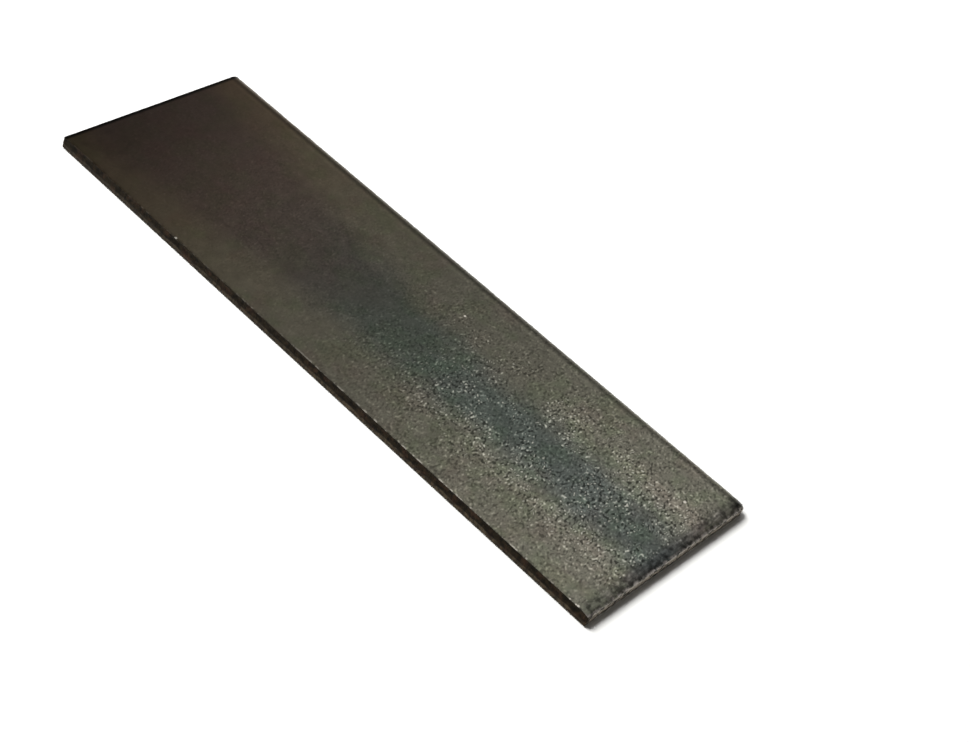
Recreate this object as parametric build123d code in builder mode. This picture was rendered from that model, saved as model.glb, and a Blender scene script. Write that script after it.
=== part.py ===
from build123d import *

import os

# Cut piece of hot-rolled steel flat bar, lying flat with its long way along X.
# All sizes are in millimetres. The origin is at the centre of the bottom face.
#
# The bar was sheared from wider plate, and a sheared edge has three parts. Next to the face
# that the blade met, the metal is drawn down in a soft curve. Below that comes the bright
# burnished land that the blade rubbed. The rest is torn, and leans back under the land.
# The +Y side and the +X end were cut from above. The -Y side was the falling side of its
# cut, so its form is upside down, with a crisp corner on top. The -X end is a plain saw cut.

# The stock, and the length it was cut to
WIDTH = 50.0
THICKNESS = 3.0
LENGTH = 160.0

# Side cut from above, +Y: how far in and down the curve goes, and the land below it
UPPER_CURVE_REACH = 2.2
UPPER_CURVE_DROP = 0.7
UPPER_LAND_HEIGHT = 0.8

# Falling side, -Y: the same three parts, measured up from the bottom face
LOWER_CURVE_REACH = 1.2
LOWER_CURVE_DROP = 0.3
LOWER_LAND_HEIGHT = 0.9

# Sheared end, +X
END_CURVE_REACH = 2.2
END_CURVE_DROP = 0.4
END_LAND_HEIGHT = 0.7

# How far every torn face leans back from its land, which is the gap between the blades
BLADE_GAP = 0.15

# Radius of the sharp edges once the burr is off, at the cuts and at the sawn end
DEBURRED_RADIUS = 0.1
SAWN_EDGE_RADIUS = 0.2

# Corner between the sheared end and the side cut from above, worn round in plan
WORN_CORNER_RADIUS = 1.2

# Places of the faces, worked out from the sizes
side = WIDTH / 2
end = LENGTH / 2
upper_land_top = THICKNESS - UPPER_CURVE_DROP
upper_land_bottom = upper_land_top - UPPER_LAND_HEIGHT
lower_land_bottom = LOWER_CURVE_DROP
lower_land_top = lower_land_bottom + LOWER_LAND_HEIGHT
end_land_top = THICKNESS - END_CURVE_DROP
end_land_bottom = end_land_top - END_LAND_HEIGHT

with BuildPart() as flat_bar:
    # Section of the strip, the same from end to end
    with BuildSketch(Plane.YZ.offset(-end)) as section:
        with BuildLine():
            # Side cut from above, from the top face down to the bottom face
            upper_curve_start = (side - UPPER_CURVE_REACH, THICKNESS)
            upper_torn_foot = (side - BLADE_GAP, 0)
            TangentArc(upper_curve_start, (side, upper_land_top), tangent=(1, 0))
            Polyline((side, upper_land_top), (side, upper_land_bottom), upper_torn_foot)

            # Falling side, from the bottom face up to the top face
            lower_curve_start = (-side + LOWER_CURVE_REACH, 0)
            lower_torn_head = (-side + BLADE_GAP, THICKNESS)
            TangentArc(lower_curve_start, (-side, lower_land_bottom), tangent=(-1, 0))
            Polyline((-side, lower_land_bottom), (-side, lower_land_top), lower_torn_head)

            # The two rolled faces join the sides
            Line(upper_torn_foot, lower_curve_start)
            Line(lower_torn_head, upper_curve_start)
        make_face()
        torn_corners = [
            section.vertices().sort_by_distance(place)[0]
            for place in (upper_torn_foot, lower_torn_head)
        ]
        fillet(torn_corners, radius=DEBURRED_RADIUS)
    extrude(amount=LENGTH)

    # Side view: the sawn end on the left and the sheared end on the right
    with BuildSketch(Plane.XZ.offset(-side)) as side_view:
        with BuildLine():
            end_curve_start = (end - END_CURVE_REACH, THICKNESS)
            end_torn_foot = (end - BLADE_GAP, 0)
            TangentArc(end_curve_start, (end, end_land_top), tangent=(1, 0))
            Polyline((end, end_land_top), (end, end_land_bottom), end_torn_foot)
            Polyline(end_torn_foot, (-end, 0), (-end, THICKNESS), end_curve_start)
        make_face()
        sawn_corners = side_view.vertices().group_by(Axis.X)[0]
        fillet(sawn_corners, radius=SAWN_EDGE_RADIUS)
    extrude(amount=WIDTH, mode=Mode.INTERSECT)

    # View from above: the one worn corner
    with BuildSketch(Plane.XY) as plan:
        Rectangle(LENGTH, WIDTH)
        worn_corner = plan.vertices().group_by(Axis.X)[-1].sort_by(Axis.Y)[-1]
        fillet(worn_corner, radius=WORN_CORNER_RADIUS)
    extrude(amount=THICKNESS, mode=Mode.INTERSECT)

flat_bar.part.label = "flat_bar"

os.makedirs("parts", exist_ok=True)
export_step(flat_bar.part, "parts/flat_bar.step")
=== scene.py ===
import math

import bmesh
import bpy
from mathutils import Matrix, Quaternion, Vector


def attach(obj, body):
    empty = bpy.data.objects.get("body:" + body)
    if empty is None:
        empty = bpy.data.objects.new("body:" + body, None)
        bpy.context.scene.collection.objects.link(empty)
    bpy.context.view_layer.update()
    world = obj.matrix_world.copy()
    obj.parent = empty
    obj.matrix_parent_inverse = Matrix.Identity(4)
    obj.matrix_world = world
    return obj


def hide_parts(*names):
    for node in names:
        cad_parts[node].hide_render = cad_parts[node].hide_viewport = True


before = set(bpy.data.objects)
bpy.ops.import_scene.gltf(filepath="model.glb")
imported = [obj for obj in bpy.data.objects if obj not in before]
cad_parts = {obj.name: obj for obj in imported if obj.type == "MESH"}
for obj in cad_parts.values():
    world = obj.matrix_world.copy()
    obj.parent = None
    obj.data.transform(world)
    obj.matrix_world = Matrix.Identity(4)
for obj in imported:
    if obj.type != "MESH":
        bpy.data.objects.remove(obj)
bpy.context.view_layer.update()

# Camera: looks down on the bar from its near left, close by with a short telephoto lens,
# and is tilted on its own axis, so the bar runs down the frame from left to right.
CAMERA_AZIMUTH = 31.61
CAMERA_ELEVATION = 42.07
CAMERA_TILT = 18.63
CAMERA_DISTANCE = 0.39253
CAMERA_LENS = 69.54
CAMERA_NEAREST = 0.01
CAMERA_AIM = Vector((0.02134, 0.00789, 0.0))

azimuth = math.radians(CAMERA_AZIMUTH)
elevation = math.radians(CAMERA_ELEVATION)
towards_camera = Vector((
    math.sin(azimuth) * math.cos(elevation),
    -math.cos(azimuth) * math.cos(elevation),
    math.sin(elevation),
))
bpy.ops.object.camera_add(location=CAMERA_AIM + towards_camera * CAMERA_DISTANCE)
camera = bpy.context.object
camera.name = "camera"
camera.data.lens = CAMERA_LENS
camera.data.clip_start = CAMERA_NEAREST
camera.rotation_mode = "QUATERNION"
level = (-towards_camera).to_track_quat("-Z", "Y")
camera.rotation_quaternion = level @ Quaternion((0, 0, 1), math.radians(CAMERA_TILT))
bpy.context.scene.camera = camera

# Floor: a plain white studio table that the bar lies on. It is matt, so it shows no more of
# the bar than a thin soft shadow where the two meet.
FLOOR_SIZE = 4.0
FLOOR_COLOUR = "#cfcfcd"


def linear(hex_colour):
    """An sRGB hex colour as the linear values that the shaders take."""
    channels = [int(hex_colour[i:i + 2], 16) / 255 for i in (1, 3, 5)]
    return [c / 12.92 if c <= 0.04045 else ((c + 0.055) / 1.055) ** 2.4 for c in channels] + [1.0]


bpy.ops.object.select_all(action="DESELECT")
bpy.ops.mesh.primitive_plane_add(size=FLOOR_SIZE)
floor = bpy.context.object
floor.name = "floor"
table_white = bpy.data.materials.new("matt_white_table")
table_white.use_nodes = True
table_shader = table_white.node_tree.nodes["Principled BSDF"]
table_shader.inputs["Base Color"].default_value = linear(FLOOR_COLOUR)
table_shader.inputs["Roughness"].default_value = 0.9
table_shader.inputs["Specular IOR Level"].default_value = 0.1
floor.data.materials.append(table_white)

# Light: a dim room with pale walls, one soft box behind the bar that shines back off its
# near half, and one high on the left that only lifts the matt table to white. Dim panels
# overhead and on the other three sides only show in the metal.
ROOM_COLOUR = "#fffaf2"
HORIZON_STRENGTH, CEILING_STRENGTH = 0.8, 0.04
WALLS_FADE_FROM, WALLS_FADE_TO = 0.14, 0.44  # how high a direction points, 1 being straight up
LIGHTS = {  # angles in degrees, distances and sizes in metres, power in watts
    "back_soft_box": dict(azimuth=-27, elevation=51, distance=0.8, size=0.5, power=1.35),
    "table_soft_box": dict(azimuth=250, elevation=57, distance=1.25, size=0.6, power=34.0, in_metal=False),
    "overhead_soft_box": dict(azimuth=0, elevation=90, distance=1.2, size=1.0, power=2.0, on_matt=False),
    "right_panel": dict(azimuth=60, elevation=35, distance=1.0, size=0.7, power=1.4, on_matt=False),
    "front_panel": dict(azimuth=150, elevation=38, distance=1.0, size=0.8, power=2.0, on_matt=False),
    "left_panel": dict(azimuth=240, elevation=38, distance=1.0, size=0.7, power=1.4, on_matt=False),
}


def add(tree, kind, links=None, **settings):
    """Adds a node. Settings are its properties; links gives its inputs, as values or sockets."""
    node = tree.nodes.new(kind)
    for name, value in settings.items():
        setattr(node, name, value)
    for name, value in (links or {}).items():
        if isinstance(value, bpy.types.NodeSocket):
            tree.links.new(value, node.inputs[name])
        else:
            node.inputs[name].default_value = value
    return node


scene = bpy.context.scene
scene.view_settings.view_transform = "Standard"
world = bpy.data.worlds.new("pale_room")
scene.world = world
world.use_nodes = True
sky = world.node_tree
direction_seen = add(sky, "ShaderNodeTexCoord").outputs["Generated"]
height = add(sky, "ShaderNodeSeparateXYZ", {"Vector": direction_seen}).outputs["Z"]
wall = add(sky, "ShaderNodeMapRange", {
    "Value": height, "From Min": WALLS_FADE_FROM, "From Max": WALLS_FADE_TO,
    "To Min": HORIZON_STRENGTH, "To Max": CEILING_STRENGTH}, interpolation_type="SMOOTHSTEP")
sky.links.new(wall.outputs["Result"], sky.nodes["Background"].inputs["Strength"])
sky.nodes["Background"].inputs["Color"].default_value = linear(ROOM_COLOUR)
for name, light in LIGHTS.items():
    turn, lift = math.radians(light["azimuth"]), math.radians(light["elevation"])
    direction = Vector((math.sin(turn) * math.cos(lift), math.cos(turn) * math.cos(lift), math.sin(lift)))
    bpy.ops.object.light_add(type="AREA", location=direction * light["distance"])
    lamp = bpy.context.object
    lamp.name = name
    lamp.data.size = light["size"]
    lamp.data.energy = light["power"]
    lamp.rotation_mode = "QUATERNION"
    lamp.rotation_quaternion = direction.to_track_quat("Z", "Y")
    lamp.visible_camera = False
    lamp.visible_glossy = light.get("in_metal", True)
    lamp.visible_diffuse = light.get("on_matt", True)

# Flat bar: a strip of hot-rolled carbon steel, 50 x 3 mm, sheared off a wider sheet along both
# long sides and across its near end, and sawn at its far end. The blade drew the upper edges
# over on the right and at the near end, and the lower edge on the left.
BAR_LENGTH = 0.160
BAR_WIDTH = 0.050
BAR_THICKNESS = 0.003
CELLS_ALONG = 480
CELLS_ACROSS = 150
RIGHT_CURVE_REACH, RIGHT_CURVE_DROP = 0.0022, 0.0007
END_CURVE_REACH, END_CURVE_DROP = 0.0022, 0.0004
LEFT_CURVE_REACH, LEFT_CURVE_TOP = 0.0012, 0.10  # the top is a share of the thickness
RIGHT_LAND_BOTTOM = 0.0015
END_LAND_BOTTOM = 0.0019
LEFT_LAND_TOP = 0.0012
BLADE_GAP = 0.00015
WORN_CORNER_REACH, WORN_CORNER_MOVE, WORN_CORNER_CUT = 0.0013, 0.00035, 0.00085
WORN_EDGE = 0.00012
SQUEEZED_STRIP = 0.003  # width of the strip that is squeezed to draw the lower left edge in
ROWS = (0.92, 0.83, 0.74, 0.65, 0.52, 0.40, 0.28, 0.18, LEFT_CURVE_TOP, 0.065, 0.03, 0.01, 0.0)
UPPER_ROWS = 0.8
ROW_DIP, ROW_RISE = 0.84, 1.01  # a row dips under the drawn near end, as a share of its height
END, SIDE, HAIR = BAR_LENGTH / 2, BAR_WIDTH / 2, 0.00001
FLAT_ENOUGH = 0.6

bpy.ops.object.select_all(action="DESELECT")
bpy.ops.mesh.primitive_grid_add(x_subdivisions=CELLS_ALONG, y_subdivisions=CELLS_ACROSS, size=1)
bar = bpy.context.object
bar.name = bar.data.name = "flat_bar_stock"
bpy.ops.object.mode_set(mode="EDIT")
bpy.context.tool_settings.mesh_select_mode = (True, False, False)
bpy.ops.transform.resize(value=(BAR_LENGTH, BAR_WIDTH, 1), center_override=(0, 0, 0))
bpy.ops.transform.translate(value=(0, 0, BAR_THICKNESS))


def pick(test):
    """Selects the vertices of the edited mesh whose place passes the test."""
    bpy.ops.mesh.select_all(action="DESELECT")
    edited = bmesh.from_edit_mesh(bpy.context.object.data)
    for vertex in edited.verts:
        vertex.select = test(vertex.co)
    edited.select_flush(True)
    bmesh.update_edit_mesh(bpy.context.object.data)


def push(move, reach, falloff="SHARP"):
    """Moves what is picked, and its neighbours less and less out to the reach."""
    bpy.ops.transform.translate(value=move, use_proportional_edit=True,
                                proportional_edit_falloff=falloff, proportional_size=reach)


def at_corner(p):
    """True on the worn near right corner."""
    return p.x > END - WORN_CORNER_REACH and p.x + p.y > END + SIDE - WORN_CORNER_CUT


# The worn near right corner, then the two edges that the blade drew down.
pick(lambda p: p.x > END - HAIR and p.y > SIDE - HAIR)
push((-WORN_CORNER_MOVE, -WORN_CORNER_MOVE, 0), WORN_CORNER_REACH)
pick(lambda p: p.x > END - HAIR or at_corner(p))
push((0, 0, -END_CURVE_DROP), END_CURVE_REACH)
pick(lambda p: p.y > SIDE - HAIR or at_corner(p))
push((0, 0, -RIGHT_CURVE_DROP), RIGHT_CURVE_REACH)

# The four sides come down to the table in rows, each at its share of the height.
bpy.ops.mesh.select_all(action="SELECT")
bpy.ops.mesh.region_to_loop()
row_above = 1.0
for row in ROWS:
    bpy.ops.mesh.extrude_edges_move()
    bpy.ops.transform.resize(value=(1, 1, row / row_above), center_override=(0, 0, 0))
    row_above = row

# The torn faces lean back under the blades' lands, and the left side's lower edge is drawn up.
pick(lambda p: p.z < HAIR and p.y > SIDE - HAIR)
push((0, -BLADE_GAP, 0), RIGHT_LAND_BOTTOM, "LINEAR")
pick(lambda p: p.z < HAIR and p.x > END - HAIR)
push((-BLADE_GAP, 0, 0), END_LAND_BOTTOM, "LINEAR")
pick(lambda p: p.z > BAR_THICKNESS * UPPER_ROWS and p.y < -SIDE + HAIR)
push((0, BLADE_GAP, 0), BAR_THICKNESS - LEFT_LAND_TOP, "LINEAR")
for row in ROWS[ROWS.index(LEFT_CURVE_TOP):]:
    drawn = LEFT_CURVE_REACH * (1 - math.sqrt(row / LEFT_CURVE_TOP))
    pick(lambda p: ROW_DIP * row * BAR_THICKNESS - HAIR < p.z < ROW_RISE * row * BAR_THICKNESS + HAIR / 2
         and p.y < -SIDE + SQUEEZED_STRIP)
    bpy.ops.transform.resize(value=(1, 1 - drawn / SQUEEZED_STRIP, 1),
                             center_override=(0, -SIDE + SQUEEZED_STRIP, 0))
pick(lambda p: p.z < HAIR)
bpy.ops.mesh.edge_face_add()

# Handling has worn the sharpness off the upper edges.
bpy.ops.mesh.select_all(action="SELECT")
bpy.ops.mesh.normals_make_consistent(inside=False)
bpy.ops.mesh.select_all(action="DESELECT")
edited = bmesh.from_edit_mesh(bar.data)
for edge in edited.edges:
    edge.select = len({face.normal.z > FLAT_ENOUGH for face in edge.link_faces}) == 2
bmesh.update_edit_mesh(bar.data)
bpy.context.tool_settings.mesh_select_mode = (False, True, False)
bpy.ops.mesh.bevel(offset=WORN_EDGE, segments=2, affect="EDGES")
bpy.ops.object.mode_set(mode="OBJECT")

# Real relief: the slow waves that the rolls leave and the pits of lifted scale on the broad
# face, nicks along the upper edges, and the grain of the torn steel on the sheared sides. All
# of it goes inwards.
RELIEF = {  # pattern size and depth
    "rolled_waves": (0.009, 0.00003),
    "scale_pits": (0.0009, 0.000035),
    "edge_nicks": (0.0013, 0.00012),
    "torn_grain": (0.0006, 0.00008),
}
WAVES_START, WAVES_FADE = 0.0005, 0.002  # in from the edges
PITS_START, PITS_FADE, FEWEST_PITS = -0.04, 0.07, 0.1  # along the bar
NICKS_BOTTOM, NICKS_WIDTH = 0.72, 0.0006
TORN_TOP, LAND_GRAIN = 0.95, 0.25
weights = {name: bar.vertex_groups.new(name=name) for name in RELIEF}
for vertex in bar.data.vertices:
    x, y, z = vertex.co
    on_top = vertex.normal.z > FLAT_ENOUGH
    from_edge = min(END - x, SIDE - y, SIDE + y)
    if on_top:
        waves = min(1, max(0, (from_edge - WAVES_START) / WAVES_FADE))
        pits = min(1, max(FEWEST_PITS, (x - PITS_START) / PITS_FADE))
        weights["rolled_waves"].add([vertex.index], waves, "REPLACE")
        weights["scale_pits"].add([vertex.index], pits, "REPLACE")
    if z > BAR_THICKNESS * NICKS_BOTTOM and from_edge < NICKS_WIDTH:
        weights["edge_nicks"].add([vertex.index], 1 - max(0, from_edge) / NICKS_WIDTH, "REPLACE")
    if not on_top and HAIR < z < BAR_THICKNESS * TORN_TOP and x > -END + HAIR:
        torn = z > LEFT_LAND_TOP if y < -SIDE + SQUEEZED_STRIP else z < END_LAND_BOTTOM
        weights["torn_grain"].add([vertex.index], 1.0 if torn else LAND_GRAIN, "REPLACE")
for name, (size, depth) in RELIEF.items():
    clouds = bpy.data.textures.new(name, "CLOUDS")
    clouds.noise_scale = size
    clouds.noise_depth = 1
    displace = bar.modifiers.new(name, "DISPLACE")
    displace.texture = clouds
    displace.texture_coords = "LOCAL"
    displace.mid_level = 1.0
    displace.strength = depth
    displace.vertex_group = name
    bpy.ops.object.modifier_apply(modifier=name)

# Mill scale: the hard grey-brown oxide skin that hot rolling leaves on carbon steel. It is
# half bright, pebbled and pitted, warm along the margins and blue-grey down the middle. The
# far end is browner and smoother, the near end paler and coarser. Part of the darkening towards
# the far end and the paling towards the near end is painted shade and painted light.
MM_PER_METRE = 1000
END_MM, SIDE_MM, TOP_MM = END * MM_PER_METRE, SIDE * MM_PER_METRE, BAR_THICKNESS * MM_PER_METRE
# Besides the scale's own colours, the runs carry painted shade, darker towards the far end, and painted
# light, paler towards the near end.
MARGIN_COLOURS_AND_SHADING = {0.02: "#4b3e31", 0.25: "#4a4437", 0.5: "#45433b", 0.75: "#545248", 0.98: "#656359"}
HEART_COLOURS_AND_SHADING = {0.02: "#3f342e", 0.25: "#423831", 0.42: "#34332f", 0.6: "#3c433c", 0.8: "#434744",
                 0.98: "#464a46"}  # from the far end, at 0, to the near end, at 1
TINTS = {"olive": (0.44, 0.66, "#f6fff4"), "russet": (0.48, 0.68, "#fff8fa")}  # from, full, colour
BAND_TINT, SPECK_AND_GLINT_COLOUR, BARE_STEEL_AND_HIGHLIGHT = "#faf7ff", "#bebcb0", "#b5b0a5"
NOISES = {  # size in millimetres, detail
    "drift": (16, 3), "border": (9, 3), "olive": (5.5, 3), "russet": (7.5, 3), "patches": (7, 3),
    "waves": (1.8, 2), "gloss": (3, 3), "wear": (1.1, 3), "lumps": (1.4, 3),
}
WANDER, SWAY, SWAY_SHIFT = 24.0, 9.0, -3.0
HEART_START, HEART_STOP = -70, 20  # where the heart starts and stops narrowing, along the bar
HEART_FROM, HEART_TO, HEART_FADE = 12.0, 2.0, 11.0
mill_scale = bpy.data.materials.new("hot_rolled_mill_scale")
mill_scale.use_nodes = True
skin = mill_scale.node_tree
skin_shader = skin.nodes["Principled BSDF"]
skin_shader.inputs["Metallic"].default_value = 1.0
millimetres = add(skin, "ShaderNodeMapping", {
    "Vector": add(skin, "ShaderNodeTexCoord").outputs["Object"],
    "Scale": [MM_PER_METRE] * 3}).outputs["Vector"]
axes = add(skin, "ShaderNodeSeparateXYZ", {"Vector": millimetres}).outputs
noise = {
    name: add(skin, "ShaderNodeTexNoise", {
        "Vector": millimetres, "Scale": 1 / size, "Detail": detail}).outputs["Fac"]
    for name, (size, detail) in NOISES.items()
}

# Where a point lies: along the bar, with wandering borders, and off its middle line.
wander = add(skin, "ShaderNodeMath", {
    0: noise["drift"], 1: WANDER, 2: -WANDER / 2}, operation="MULTIPLY_ADD").outputs[0]
run = add(skin, "ShaderNodeMath", {0: axes["X"], 1: wander}, operation="ADD").outputs[0]
length_place = add(skin, "ShaderNodeMapRange", {
    "Value": run, "From Min": -END_MM, "From Max": END_MM}).outputs["Result"]
sway = add(skin, "ShaderNodeMath", {
    0: noise["border"], 1: SWAY, 2: SWAY_SHIFT}, operation="MULTIPLY_ADD").outputs[0]
swayed = add(skin, "ShaderNodeMath", {0: axes["Y"], 1: sway}, operation="ADD").outputs[0]
off_middle = add(skin, "ShaderNodeMath", {0: swayed}, operation="ABSOLUTE").outputs[0]

# Warm margins and the blue-grey heart, each with its own run of colours.
margin_run = add(skin, "ShaderNodeValToRGB", {"Fac": length_place})
heart_run = add(skin, "ShaderNodeValToRGB", {"Fac": length_place})
for colour_run, stops in ((margin_run, MARGIN_COLOURS_AND_SHADING), (heart_run, HEART_COLOURS_AND_SHADING)):
    stretch = colour_run.color_ramp
    stretch.interpolation = "B_SPLINE"
    while len(stretch.elements) < len(stops):
        stretch.elements.new(1.0)
    for element, (position, colour) in zip(stretch.elements, stops.items()):
        element.position, element.color = position, linear(colour)
heart_width = add(skin, "ShaderNodeMapRange", {
    "Value": run, "From Min": HEART_START, "From Max": HEART_STOP,
    "To Min": HEART_FROM, "To Max": HEART_TO}).outputs["Result"]
heart_edge = add(skin, "ShaderNodeMath", {0: heart_width, 1: HEART_FADE}, operation="ADD").outputs[0]
heart = add(skin, "ShaderNodeMapRange", {
    "Value": off_middle, "From Min": heart_width, "From Max": heart_edge,
    "To Min": 1, "To Max": 0}, interpolation_type="SMOOTHSTEP").outputs["Result"]
body_colour = add(skin, "ShaderNodeMix", {
    "Factor": heart, 6: margin_run.outputs["Color"], 7: heart_run.outputs["Color"]},
    data_type="RGBA").outputs[2]
for name, (least, most, tint) in TINTS.items():
    tinted = add(skin, "ShaderNodeMapRange", {
        "Value": noise[name], "From Min": least, "From Max": most},
        interpolation_type="SMOOTHSTEP").outputs["Result"]
    body_colour = add(skin, "ShaderNodeMix", {
        "Factor": tinted, 6: body_colour, 7: linear(tint)},
        data_type="RGBA", blend_type="MULTIPLY").outputs[2]

# Grain: shining specks and dull pits about a millimetre apart, drawn out a little across the
# bar, coarser towards the near end, thinner in smooth patches and calmer along the sides. Its
# strength towards the near end and the pale colour mixed in at the specks are partly the
# scale's own and partly painted sparkle and glints.
PEBBLE_SIZE, DENT_SIZE, GRAIN_STRETCH, GRAIN_TURN = 0.52, 0.58, 1.5, 18
GRAIN_RUN, GRAIN_STRENGTH = (-16, 41), (0.31, 1.2)  # places along the bar, strengths there
SMOOTH_RUN, SMOOTH_STRENGTH = (-75, -20), (0.5, 1.0)
CALM_SIDES = {11.5: 1.0, 20.5: 0.59}  # strength by the distance off the middle line
EVEN_END = {END_MM - 3.0: 1.0, END_MM - 1.8: 0.45}  # strength by the place along the bar
SPECKLE_STRENGTH, DARKEST_PIT, DARKEST = 2.8, -0.57, 0.15
MOTTLE_STRENGTH, MOTTLE_BASE = 0.2, 0.87
SHINE_POWER, SHINE_ON_MARGIN, SHINE_ON_HEART = 4.0, 0.27, 0.29
patchy = add(skin, "ShaderNodeMapRange", {
    "Value": noise["patches"], "From Min": 0.36, "From Max": 0.5, "To Min": 0.55, "To Max": 1.0},
    interpolation_type="SMOOTHSTEP").outputs["Result"]
coarse = add(skin, "ShaderNodeMapRange", {
    "Value": run, "From Min": GRAIN_RUN[0], "From Max": GRAIN_RUN[1],
    "To Min": GRAIN_STRENGTH[0], "To Max": GRAIN_STRENGTH[1]},
    interpolation_type="SMOOTHSTEP").outputs["Result"]
rolled_smooth = add(skin, "ShaderNodeMapRange", {
    "Value": run, "From Min": SMOOTH_RUN[0], "From Max": SMOOTH_RUN[1],
    "To Min": SMOOTH_STRENGTH[0], "To Max": SMOOTH_STRENGTH[1]}).outputs["Result"]
coarse = add(skin, "ShaderNodeMath", {0: coarse, 1: rolled_smooth}, operation="MULTIPLY").outputs[0]
coarse = add(skin, "ShaderNodeMath", {0: coarse, 1: patchy}, operation="MULTIPLY").outputs[0]
off_centre = add(skin, "ShaderNodeMath", {0: axes["Y"]}, operation="ABSOLUTE").outputs[0]
for measured, strengths in ((off_centre, CALM_SIDES), (axes["X"], EVEN_END)):
    (start, full), (stop, calm) = strengths.items()
    calmed = add(skin, "ShaderNodeMapRange", {
        "Value": measured, "From Min": start, "From Max": stop,
        "To Min": full, "To Max": calm}).outputs["Result"]
    coarse = add(skin, "ShaderNodeMath", {0: coarse, 1: calmed}, operation="MULTIPLY").outputs[0]
drawn_out = add(skin, "ShaderNodeMapping", {
    "Vector": millimetres, "Scale": (1, GRAIN_STRETCH, 1),
    "Rotation": (0, 0, math.radians(GRAIN_TURN))}, vector_type="TEXTURE").outputs["Vector"]
pebbles = add(skin, "ShaderNodeTexNoise", {
    "Vector": drawn_out, "Scale": 1 / PEBBLE_SIZE, "Detail": 0}, normalize=False).outputs["Fac"]
moved_on = add(skin, "ShaderNodeMapping", {
    "Vector": drawn_out, "Location": (31, 17, 5)}).outputs["Vector"]  # so dents miss the pebbles
dents = add(skin, "ShaderNodeTexNoise", {
    "Vector": moved_on, "Scale": 1 / DENT_SIZE, "Detail": 0}, normalize=False).outputs["Fac"]
speckle = add(skin, "ShaderNodeMath", {0: pebbles, 1: dents}, operation="MULTIPLY").outputs[0]
speck = add(skin, "ShaderNodeMapRange", {
    "Value": speckle, "From Min": 0.05, "From Max": 0.25}).outputs["Result"]
shade = add(skin, "ShaderNodeMath", {
    0: speckle, 1: SPECKLE_STRENGTH, 2: pebbles}, operation="MULTIPLY_ADD").outputs[0]
shade = add(skin, "ShaderNodeMath", {0: shade, 1: DARKEST_PIT}, operation="MAXIMUM").outputs[0]
mottle = add(skin, "ShaderNodeMath", {
    0: noise["waves"], 1: MOTTLE_STRENGTH, 2: MOTTLE_BASE}, operation="MULTIPLY_ADD").outputs[0]
value = add(skin, "ShaderNodeMath", {
    0: shade, 1: coarse, 2: mottle}, operation="MULTIPLY_ADD").outputs[0]
value = add(skin, "ShaderNodeMath", {0: value, 1: DARKEST}, operation="MAXIMUM").outputs[0]

# The drawn edges' painted light: painted shade along the right edge's curve with a painted
# highlight on its rim, and at the near end a painted shade band and a painted highlight on the lip.
# The corner between them is darkened with painted shade. A darker line runs along the top by the
# far end.
RIGHT_EDGE_SHADING = {3.8: 1.0, 3.1: 1.13, 2.75: 1.05, 2.5: 0.86, 2.25: 0.72, 2.0: 0.67, 1.75: 0.88,
               1.45: 1.25, 1.1: 1.5, 0.7: 1.35}  # brightness by the distance in from the edge
END_EDGE_SHADING = {3.8: 1.0, 3.1: 0.76, 2.7: 0.69, 2.1: 0.91, 1.9: 0.74, 1.65: 0.69, 1.3: 1.18,
             1.13: 1.24, 0.94: 1.7, 0.75: 1.95, 0.56: 1.6, 0.38: 1.1}
EDGE_SHADING_PEAK = 2.5
CORNER_SHADE_FROM, CORNER_SHADE_TO, CORNER_SHADE_DARK = 1.4, 4.5, 0.12
FAR_LINE_FROM, FAR_LINE_TO, FAR_LINE_DARK = 0.7, 1.3, 0.12  # in from the far end
LEFT_FROM, LEFT_TO, LEFT_RIM_DARKEST = 0.15, 0.6, 0.85  # in from the left edge
# Painted shade and painted highlight across the drawn curves of the right edge and the near end.
for axis, edge, edge_shading in (("Y", SIDE_MM, RIGHT_EDGE_SHADING), ("X", END_MM, END_EDGE_SHADING)):
    first, last = edge - max(edge_shading), edge - min(edge_shading)
    place_in_edge_shading = add(skin, "ShaderNodeMapRange", {
        "Value": axes[axis], "From Min": first, "From Max": last}).outputs["Result"]
    edge_shading_run = add(skin, "ShaderNodeValToRGB", {"Fac": place_in_edge_shading})
    edge_shading_stops = edge_shading_run.color_ramp.elements
    while len(edge_shading_stops) < len(edge_shading):
        edge_shading_stops.new(1.0)
    for element, (distance, brightness) in zip(edge_shading_stops, edge_shading.items()):
        element.position = (edge - distance - first) / (last - first)
        element.color = [brightness / EDGE_SHADING_PEAK] * 3 + [1]
    edge_shade_and_highlight = add(skin, "ShaderNodeMath", {
        0: edge_shading_run.outputs["Color"], 1: EDGE_SHADING_PEAK}, operation="MULTIPLY").outputs[0]
    value = add(skin, "ShaderNodeMath", {0: value, 1: edge_shade_and_highlight}, operation="MULTIPLY").outputs[0]
value = add(skin, "ShaderNodeMath", {0: value, 1: EDGE_SHADING_PEAK}, operation="MINIMUM").outputs[0]
off_corner = add(skin, "ShaderNodeVectorMath", {
    0: millimetres, 1: (END_MM, SIDE_MM, TOP_MM)}, operation="DISTANCE").outputs["Value"]
# Painted shade, darkest at the drooped near right corner.
corner_shade = add(skin, "ShaderNodeMapRange", {
    "Value": off_corner, "From Min": CORNER_SHADE_FROM, "From Max": CORNER_SHADE_TO,
    "To Min": CORNER_SHADE_DARK, "To Max": 1.0}).outputs["Result"]
value = add(skin, "ShaderNodeMath", {0: value, 1: corner_shade}, operation="MULTIPLY").outputs[0]
# Darker along the top by the far end.
far_dark_line = add(skin, "ShaderNodeMapRange", {
    "Value": axes["X"], "From Min": FAR_LINE_FROM - END_MM, "From Max": FAR_LINE_TO - END_MM,
    "To Min": FAR_LINE_DARK, "To Max": 1.0}).outputs["Result"]
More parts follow.
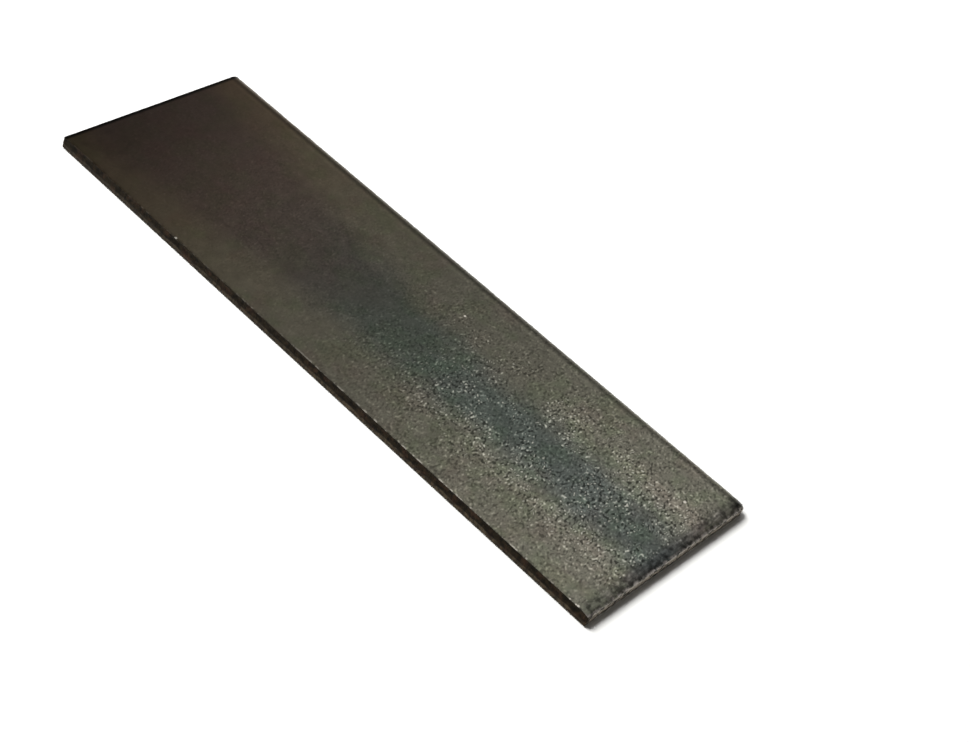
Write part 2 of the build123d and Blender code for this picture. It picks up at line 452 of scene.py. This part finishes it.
# Painted shade darkening the left rim, less where the grain is coarse.
left_rim_shade = add(skin, "ShaderNodeMapRange", {
    "Value": axes["Y"], "From Min": LEFT_FROM - SIDE_MM, "From Max": LEFT_TO - SIDE_MM,
    "To Min": LEFT_RIM_DARKEST, "To Max": 1.0}).outputs["Result"]
left_rim_shade = add(skin, "ShaderNodeMath", {0: left_rim_shade, 1: coarse}, operation="MAXIMUM").outputs[0]
value = add(skin, "ShaderNodeMath", {0: value, 1: left_rim_shade}, operation="MULTIPLY").outputs[0]
value = add(skin, "ShaderNodeMath", {0: value, 1: far_dark_line}, operation="MULTIPLY").outputs[0]
grain_colour = add(skin, "ShaderNodeVectorMath", {
    0: body_colour, "Scale": value}, operation="SCALE").outputs["Vector"]
# Pale specks, partly their own colour and partly painted glints, strongest where the grain is coarsest.
coarsest = add(skin, "ShaderNodeMath", {0: coarse, 1: SHINE_POWER}, operation="POWER").outputs[0]
speck_and_glint = add(skin, "ShaderNodeMath", {0: speck, 1: coarsest}, operation="MULTIPLY").outputs[0]
heart_shine = add(skin, "ShaderNodeMapRange", {
    "Value": heart, "To Min": SHINE_ON_MARGIN, "To Max": SHINE_ON_HEART}).outputs["Result"]
speck_and_glint = add(skin, "ShaderNodeMath", {0: speck_and_glint, 1: heart_shine}, operation="MULTIPLY").outputs[0]
grain_colour = add(skin, "ShaderNodeMix", {
    "Factor": speck_and_glint, 6: grain_colour, 7: linear(SPECK_AND_GLINT_COLOUR)}, data_type="RGBA").outputs[2]

# Wear: the scale has broken off along the near end's edge and in chips, most of them along the
# left edge. The pale steel along the near end's edge is partly that wear and partly a painted
# highlight.
CHIPS = {(8.85, 13.36): 0.35, (71.9, 14.0): 0.45, (-41.6, -24.7): 0.45, (77.0, -24.6): 0.4,
         (76.5, -24.7): 0.3, (74.9, -24.7): 0.3, (79.8, -24.3): 0.45}  # place and radius
WORN_FROM, END_WORN_TO, LEFT_WORN_TO = 0.7, 0.4, 0.35  # in from the edges
end_edge = add(skin, "ShaderNodeMapRange", {
    "Value": axes["X"], "From Min": END_MM - WORN_FROM,
    "From Max": END_MM - END_WORN_TO}).outputs["Result"]
left_edge = add(skin, "ShaderNodeMapRange", {
    "Value": axes["Y"], "From Min": WORN_FROM - SIDE_MM,
    "From Max": LEFT_WORN_TO - SIDE_MM}).outputs["Result"]
end_chips = add(skin, "ShaderNodeMapRange", {
    "Value": noise["wear"], "From Min": 0.45, "From Max": 0.56, "To Max": 0.5}).outputs["Result"]
left_chips = add(skin, "ShaderNodeMapRange", {
    "Value": noise["wear"], "From Min": 0.5, "From Max": 0.62, "To Max": 1.0}).outputs["Result"]
left_chips = add(skin, "ShaderNodeMath", {0: left_chips, 1: coarse}, operation="MULTIPLY").outputs[0]
# Along the near end's edge: partly wear, partly a painted highlight.
end_wear_and_highlight = add(skin, "ShaderNodeMath", {0: end_edge, 1: end_chips}, operation="MULTIPLY").outputs[0]
left_wear = add(skin, "ShaderNodeMath", {0: left_edge, 1: left_chips}, operation="MULTIPLY").outputs[0]
wear_and_highlight = add(skin, "ShaderNodeMath", {0: end_wear_and_highlight, 1: left_wear}, operation="MAXIMUM").outputs[0]
for place, radius in CHIPS.items():
    off_chip = add(skin, "ShaderNodeVectorMath", {
        0: millimetres, 1: (*place, TOP_MM)}, operation="DISTANCE").outputs["Value"]
    chip = add(skin, "ShaderNodeMapRange", {
        "Value": off_chip, "From Min": radius / 2, "From Max": radius,
        "To Min": 1, "To Max": 0}).outputs["Result"]
    wear_and_highlight = add(skin, "ShaderNodeMath", {0: wear_and_highlight, 1: chip}, operation="MAXIMUM").outputs[0]
wear_and_highlight_colour = add(skin, "ShaderNodeMix", {
    "Factor": wear_and_highlight, 6: grain_colour, 7: linear(BARE_STEEL_AND_HIGHLIGHT)}, data_type="RGBA").outputs[2]

# The band behind the near end's edge is lumpy where the blade pulled the face down.
BAND_FROM, BAND_TO = 3.2, 2.0  # in from the near end
SHINIEST, DULLEST = 0.29, 0.38
in_band = add(skin, "ShaderNodeMapRange", {
    "Value": axes["X"], "From Min": END_MM - BAND_FROM, "From Max": END_MM - BAND_TO}).outputs["Result"]
lumpy = add(skin, "ShaderNodeMapRange", {
    "Value": noise["lumps"], "From Min": 0.41, "From Max": 0.57,
    "To Min": 0.5, "To Max": 1.3}).outputs["Result"]
lumpy = add(skin, "ShaderNodeMix", {"Factor": in_band, 2: 1.0, 3: lumpy}).outputs[0]
band_colour = add(skin, "ShaderNodeVectorMath", {
    0: wear_and_highlight_colour, "Scale": lumpy}, operation="SCALE").outputs["Vector"]
finished_colour = add(skin, "ShaderNodeMix", {
    "Factor": in_band, 6: band_colour, 7: linear(BAND_TINT)},
    data_type="RGBA", blend_type="MULTIPLY").outputs[2]
skin.links.new(finished_colour, skin_shader.inputs["Base Color"])
gloss = add(skin, "ShaderNodeMapRange", {
    "Value": noise["gloss"], "From Min": 0.3, "From Max": 0.7,
    "To Min": SHINIEST, "To Max": DULLEST}).outputs["Result"]
skin.links.new(gloss, skin_shader.inputs["Roughness"])

# The grain and the small waves stand up a hundredth of a millimetre or so and catch the light.
GRAIN_RELIEF, WAVE_RELIEF, MILLIMETRE = 0.015, 0.004, 0.001
relief = add(skin, "ShaderNodeMath", {0: shade, 1: coarse}, operation="MULTIPLY").outputs[0]
relief = add(skin, "ShaderNodeMath", {0: relief, 1: GRAIN_RELIEF}, operation="MULTIPLY").outputs[0]
relief = add(skin, "ShaderNodeMath", {
    0: noise["waves"], 1: WAVE_RELIEF, 2: relief}, operation="MULTIPLY_ADD").outputs[0]
pebbled = add(skin, "ShaderNodeBump", {"Height": relief, "Distance": MILLIMETRE}).outputs["Normal"]
skin.links.new(pebbled, skin_shader.inputs["Normal"])
bar.data.materials.append(mill_scale)

# Sheared edge: the blade's smooth land with fine upright scores, and the torn, grainy face
# beside it. Both have rusted dark and dull since the strip was cut; towards the far end the land
# gives way to the dark torn colour, which is painted shade. At the near end the steel is lumpy
# and greyer, darker at its foot with painted shade, and palest on the lip with a painted highlight.
LAND_COLOUR, TORN_COLOUR, RUST_COLOUR = "#3a3226", "#19140c", "#2f2118"
END_COLOUR, LIP_HIGHLIGHT_COLOUR = "#7a7369", "#88837b"
SCORE_SIZE, SCORE_STRETCH, TORN_SIZE, RUST_SIZE, LUMP_SIZE = 0.28, 0.08, 0.5, 2.2, 0.9
HIGH_LAND, LOW_LAND, LAND_RAGGED = (2.2, 2.4), (1.7, 1.5), 0.8  # heights of the land's border
LEFT_SIDE_FROM, LEFT_SIDE_TO = 0.6, 0.4  # in from the left edge
NEAR_END_FROM, NEAR_END_TO = 0.7, 0.4  # in from the near end
OFF_LEFT_FROM, OFF_LEFT_TO = 0.4, 1.2  # in from the left edge
LAND_SHADE_STOP, FAR_LAND_SHARE, NEAR_LAND_SHARE = 20, 0.25, 0.9
TORN_ROUGHNESS, LAND_ROUGHNESS = 0.68, 0.45
TORN_RELIEF, SCORE_RELIEF = 0.08, 0.02
sheared = bpy.data.materials.new("oxidised_sheared_steel")
sheared.use_nodes = True
cut = sheared.node_tree
cut_shader = cut.nodes["Principled BSDF"]
cut_shader.inputs["Specular IOR Level"].default_value = 0.06
place = add(cut, "ShaderNodeMapping", {
    "Vector": add(cut, "ShaderNodeTexCoord").outputs["Object"],
    "Scale": [MM_PER_METRE] * 3}).outputs["Vector"]
edge_axes = add(cut, "ShaderNodeSeparateXYZ", {"Vector": place}).outputs
upright = add(cut, "ShaderNodeMapping", {
    "Vector": place, "Scale": (1, 1, SCORE_STRETCH)}).outputs["Vector"]
scores = add(cut, "ShaderNodeTexNoise", {
    "Vector": upright, "Scale": 1 / SCORE_SIZE, "Detail": 2}).outputs["Fac"]
grains = add(cut, "ShaderNodeTexNoise", {
    "Vector": place, "Scale": 1 / TORN_SIZE, "Detail": 3}).outputs["Fac"]
rust = add(cut, "ShaderNodeTexNoise", {
    "Vector": place, "Scale": 1 / RUST_SIZE, "Detail": 3}).outputs["Fac"]
ragged_height = add(cut, "ShaderNodeMath", {
    0: rust, 1: LAND_RAGGED, 2: edge_axes["Z"]}, operation="MULTIPLY_ADD").outputs[0]
high_land = add(cut, "ShaderNodeMapRange", {
    "Value": ragged_height, "From Min": HIGH_LAND[0], "From Max": HIGH_LAND[1]}).outputs["Result"]
low_land = add(cut, "ShaderNodeMapRange", {
    "Value": ragged_height, "From Min": LOW_LAND[0], "From Max": LOW_LAND[1]}).outputs["Result"]
left_side = add(cut, "ShaderNodeMapRange", {
    "Value": edge_axes["Y"], "From Min": LEFT_SIDE_FROM - SIDE_MM,
    "From Max": LEFT_SIDE_TO - SIDE_MM}).outputs["Result"]
land = add(cut, "ShaderNodeMix", {"Factor": left_side, 2: high_land, 3: low_land}).outputs[0]
# Painted shade: towards the far end less of the land colour shows and more of the dark torn colour.
far_shaded_land = add(cut, "ShaderNodeMapRange", {
    "Value": edge_axes["X"], "From Min": -END_MM, "From Max": LAND_SHADE_STOP,
    "To Min": FAR_LAND_SHARE, "To Max": NEAR_LAND_SHARE}).outputs["Result"]
far_shaded_land = add(cut, "ShaderNodeMath", {0: far_shaded_land, 1: land}, operation="MULTIPLY").outputs[0]
cut_colour = add(cut, "ShaderNodeMix", {
    "Factor": far_shaded_land, 6: linear(TORN_COLOUR), 7: linear(LAND_COLOUR)}, data_type="RGBA").outputs[2]
rusted = add(cut, "ShaderNodeMapRange", {
    "Value": rust, "From Min": 0.5, "From Max": 0.7, "To Max": 0.7}).outputs["Result"]
cut_colour = add(cut, "ShaderNodeMix", {
    "Factor": rusted, 6: cut_colour, 7: linear(RUST_COLOUR)}, data_type="RGBA").outputs[2]
strokes = add(cut, "ShaderNodeMapRange", {
    "Value": scores, "From Min": 0.3, "From Max": 0.7, "To Min": 0.7, "To Max": 1.3}).outputs["Result"]
cut_colour = add(cut, "ShaderNodeVectorMath", {
    0: cut_colour, "Scale": strokes}, operation="SCALE").outputs["Vector"]
lumps = add(cut, "ShaderNodeTexNoise", {
    "Vector": place, "Scale": 1 / LUMP_SIZE, "Detail": 2}).outputs["Fac"]
mottled = add(cut, "ShaderNodeMapRange", {
    "Value": lumps, "From Min": 0.41, "From Max": 0.56, "To Min": 0.55, "To Max": 1.3}).outputs["Result"]
cut_colour = add(cut, "ShaderNodeVectorMath", {
    0: cut_colour, "Scale": mottled}, operation="SCALE").outputs["Vector"]
spots = add(cut, "ShaderNodeMapRange", {
    "Value": lumps, "From Min": 0.41, "From Max": 0.56, "To Min": 0.2, "To Max": 1.7}).outputs["Result"]
# Painted shade: the near end's face is darker towards its foot, where it meets the table.
foot_shade = add(cut, "ShaderNodeMapRange", {
    "Value": edge_axes["Z"], "From Min": 0.3, "From Max": 1.4,
    "To Min": 0.35, "To Max": 1.0}).outputs["Result"]
spots = add(cut, "ShaderNodeMath", {0: spots, 1: foot_shade}, operation="MULTIPLY").outputs[0]
near_end = add(cut, "ShaderNodeMapRange", {
    "Value": edge_axes["X"], "From Min": END_MM - NEAR_END_FROM,
    "From Max": END_MM - NEAR_END_TO}).outputs["Result"]
off_left = add(cut, "ShaderNodeMapRange", {
    "Value": edge_axes["Y"], "From Min": OFF_LEFT_FROM - SIDE_MM,
    "From Max": OFF_LEFT_TO - SIDE_MM}).outputs["Result"]
near_end = add(cut, "ShaderNodeMath", {0: near_end, 1: off_left}, operation="MULTIPLY").outputs[0]
# Painted highlight: the top of the near end's face, on the edge's rounding, is paler.
lip_highlight = add(cut, "ShaderNodeMapRange", {
    "Value": ragged_height, "From Min": 2.15, "From Max": 2.9}).outputs["Result"]
end_colour = add(cut, "ShaderNodeMix", {
    "Factor": lip_highlight, 6: linear(END_COLOUR), 7: linear(LIP_HIGHLIGHT_COLOUR)}, data_type="RGBA").outputs[2]
end_colour = add(cut, "ShaderNodeVectorMath", {
    0: end_colour, "Scale": spots}, operation="SCALE").outputs["Vector"]
cut_colour = add(cut, "ShaderNodeMix", {
    "Factor": near_end, 6: cut_colour, 7: end_colour}, data_type="RGBA").outputs[2]
cut.links.new(cut_colour, cut_shader.inputs["Base Color"])
dullness = add(cut, "ShaderNodeMapRange", {
    "Value": land, "To Min": TORN_ROUGHNESS, "To Max": LAND_ROUGHNESS}).outputs["Result"]
cut.links.new(dullness, cut_shader.inputs["Roughness"])
torn_depth = add(cut, "ShaderNodeMapRange", {
    "Value": land, "To Min": TORN_RELIEF, "To Max": 0.0}).outputs["Result"]
torn_relief = add(cut, "ShaderNodeMath", {0: grains, 1: torn_depth}, operation="MULTIPLY").outputs[0]
edge_relief = add(cut, "ShaderNodeMath", {
    0: scores, 1: SCORE_RELIEF, 2: torn_relief}, operation="MULTIPLY_ADD").outputs[0]
torn_grain = add(cut, "ShaderNodeBump", {"Height": edge_relief, "Distance": MILLIMETRE}).outputs["Normal"]
cut.links.new(torn_grain, cut_shader.inputs["Normal"])
bar.data.materials.append(sheared)

# Sawn end: grey steel, a little tarnished, with the saw's level strokes a third of a millimetre
# apart.
SAWN_COLOUR, TARNISH_COLOUR = "#57524b", "#4a3c30"
STROKE_SIZE, STROKE_STRETCH, STROKE_DEPTH, TARNISH_SIZE = 0.3, 0.06, 0.00004, 2.5
sawn = bpy.data.materials.new("sawn_carbon_steel")
sawn.use_nodes = True
kerf = sawn.node_tree
kerf_shader = kerf.nodes["Principled BSDF"]
kerf_shader.inputs["Metallic"].default_value = 1.0
kerf_shader.inputs["Roughness"].default_value = 0.42
saw_place = add(kerf, "ShaderNodeMapping", {
    "Vector": add(kerf, "ShaderNodeTexCoord").outputs["Object"],
    "Scale": (MM_PER_METRE, MM_PER_METRE * STROKE_STRETCH, MM_PER_METRE)}).outputs["Vector"]
saw_strokes = add(kerf, "ShaderNodeTexNoise", {
    "Vector": saw_place, "Scale": 1 / STROKE_SIZE, "Detail": 2}).outputs["Fac"]
tarnish = add(kerf, "ShaderNodeTexNoise", {
    "Vector": add(kerf, "ShaderNodeTexCoord").outputs["Object"],
    "Scale": MM_PER_METRE / TARNISH_SIZE, "Detail": 3}).outputs["Fac"]
kerf_colour = add(kerf, "ShaderNodeMix", {
    "Factor": tarnish, 6: linear(SAWN_COLOUR), 7: linear(TARNISH_COLOUR)}, data_type="RGBA").outputs[2]
kerf_light = add(kerf, "ShaderNodeMapRange", {
    "Value": saw_strokes, "From Min": 0.3, "From Max": 0.7,
    "To Min": 0.65, "To Max": 1.25}).outputs["Result"]
kerf_colour = add(kerf, "ShaderNodeVectorMath", {
    0: kerf_colour, "Scale": kerf_light}, operation="SCALE").outputs["Vector"]
kerf.links.new(kerf_colour, kerf_shader.inputs["Base Color"])
stroked = add(kerf, "ShaderNodeBump", {"Height": saw_strokes, "Distance": STROKE_DEPTH}).outputs["Normal"]
kerf.links.new(stroked, kerf_shader.inputs["Normal"])
bar.data.materials.append(sawn)

# Each face of the bar gets its own finish: sawn, sheared or, as it starts out, mill scale.
SAWN_ENOUGH, SMOOTH_ANGLE = -0.9, 20
SHEARED_SLOT, SAWN_SLOT = 1, 2
for face in bar.data.polygons:
    if face.normal.x < SAWN_ENOUGH:
        face.material_index = SAWN_SLOT
    elif abs(face.normal.z) < FLAT_ENOUGH:
        face.material_index = SHEARED_SLOT
bpy.ops.object.shade_smooth_by_angle(angle=math.radians(SMOOTH_ANGLE))
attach(bar, "root")
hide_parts("flat_bar")
